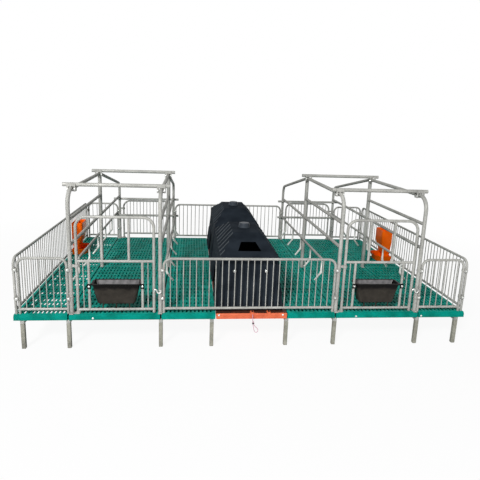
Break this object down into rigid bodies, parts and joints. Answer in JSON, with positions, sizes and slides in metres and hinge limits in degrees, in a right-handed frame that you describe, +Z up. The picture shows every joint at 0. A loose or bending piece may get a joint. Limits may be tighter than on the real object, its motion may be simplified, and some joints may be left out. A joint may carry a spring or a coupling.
{
  "type": "double farrowing crate",
  "caption": "Raised green slatted pen with sow crates either side of a black piglet house on a heating plate, hinged feeding gates with troughs, creep feeders and a low galvanised fence.",
  "frame": {"origin": "on the ground under the middle of the platform", "axes": "+X to the right seen from the feeding gates, +Y to the back, +Z up"},
  "size_m": [3.6, 2.434, 1.2753],
  "materials": {
    "galvanised_steel": "hot-dip galvanised",
    "slat_plastic": "moulded",
    "heat_plate": "moulded",
    "feeder_plastic": "moulded",
    "house_plastic": "moulded",
    "trough": "moulded",
    "lead": "sheathed",
    "tie": "moulded"
  },
  "bodies": {
    "pen": {"legs": "galvanised_steel", "beams": "galvanised_steel", "left_slats": "slat_plastic", "right_slats": "slat_plastic", "heat_plate": "heat_plate", "front_left_panel": "galvanised_steel", "front_centre_panel": "galvanised_steel", "front_right_panel": "galvanised_steel", "back_left_panel": "galvanised_steel", "back_centre_panel": "galvanised_steel", "back_right_panel": "galvanised_steel", "left_side_panel": "galvanised_steel", "right_side_panel": "galvanised_steel", "panel_clips": "galvanised_steel", "left_crate_outer_side": "galvanised_steel", "left_crate_inner_side": "galvanised_steel", "right_crate_inner_side": "galvanised_steel", "right_crate_outer_side": "galvanised_steel", "left_outer_finger_rail": "galvanised_steel", "left_inner_finger_rail": "galvanised_steel", "right_inner_finger_rail": "galvanised_steel", "right_outer_finger_rail": "galvanised_steel", "left_crate_ties": "galvanised_steel", "right_crate_ties": "galvanised_steel", "left_rear_bars": "galvanised_steel", "right_rear_bars": "galvanised_steel", "left_feeder": "feeder_plastic", "right_feeder": "feeder_plastic", "front_house": "house_plastic", "back_house": "house_plastic", "front_house_lid": "house_plastic", "back_house_lid": "house_plastic", "front_lamp_cap": "house_plastic", "back_lamp_cap": "house_plastic", "heat_lead": "lead", "lead_tie": "tie"},
    "left_front_gate": {"left_front_gate": "galvanised_steel", "left_trough": "trough"},
    "right_front_gate": {"right_front_gate": "galvanised_steel", "right_trough": "trough"},
    "left_rear_gate": {"left_rear_gate": "galvanised_steel"},
    "right_rear_gate": {"right_rear_gate": "galvanised_steel"}
  },
  "joints": [
    {"name": "left_front_gate_hinge", "type": "hinge", "parent": "pen", "child": "left_front_gate", "pos_m": [-1.327, -1.17, 0.66], "axis": [0, 0, -1], "range_deg": [0, 100]},
    {"name": "right_front_gate_hinge", "type": "hinge", "parent": "pen", "child": "right_front_gate", "pos_m": [0.753, -1.17, 0.66], "axis": [0, 0, -1], "range_deg": [0, 100]},
    {"name": "left_rear_gate_hinge", "type": "hinge", "parent": "pen", "child": "left_rear_gate", "pos_m": [-1.327, 1.17, 0.66], "axis": [0, 0, 1], "range_deg": [0, 100]},
    {"name": "right_rear_gate_hinge", "type": "hinge", "parent": "pen", "child": "right_rear_gate", "pos_m": [1.327, 1.17, 0.66], "axis": [0, 0, -1], "range_deg": [0, 100]}
  ]
}
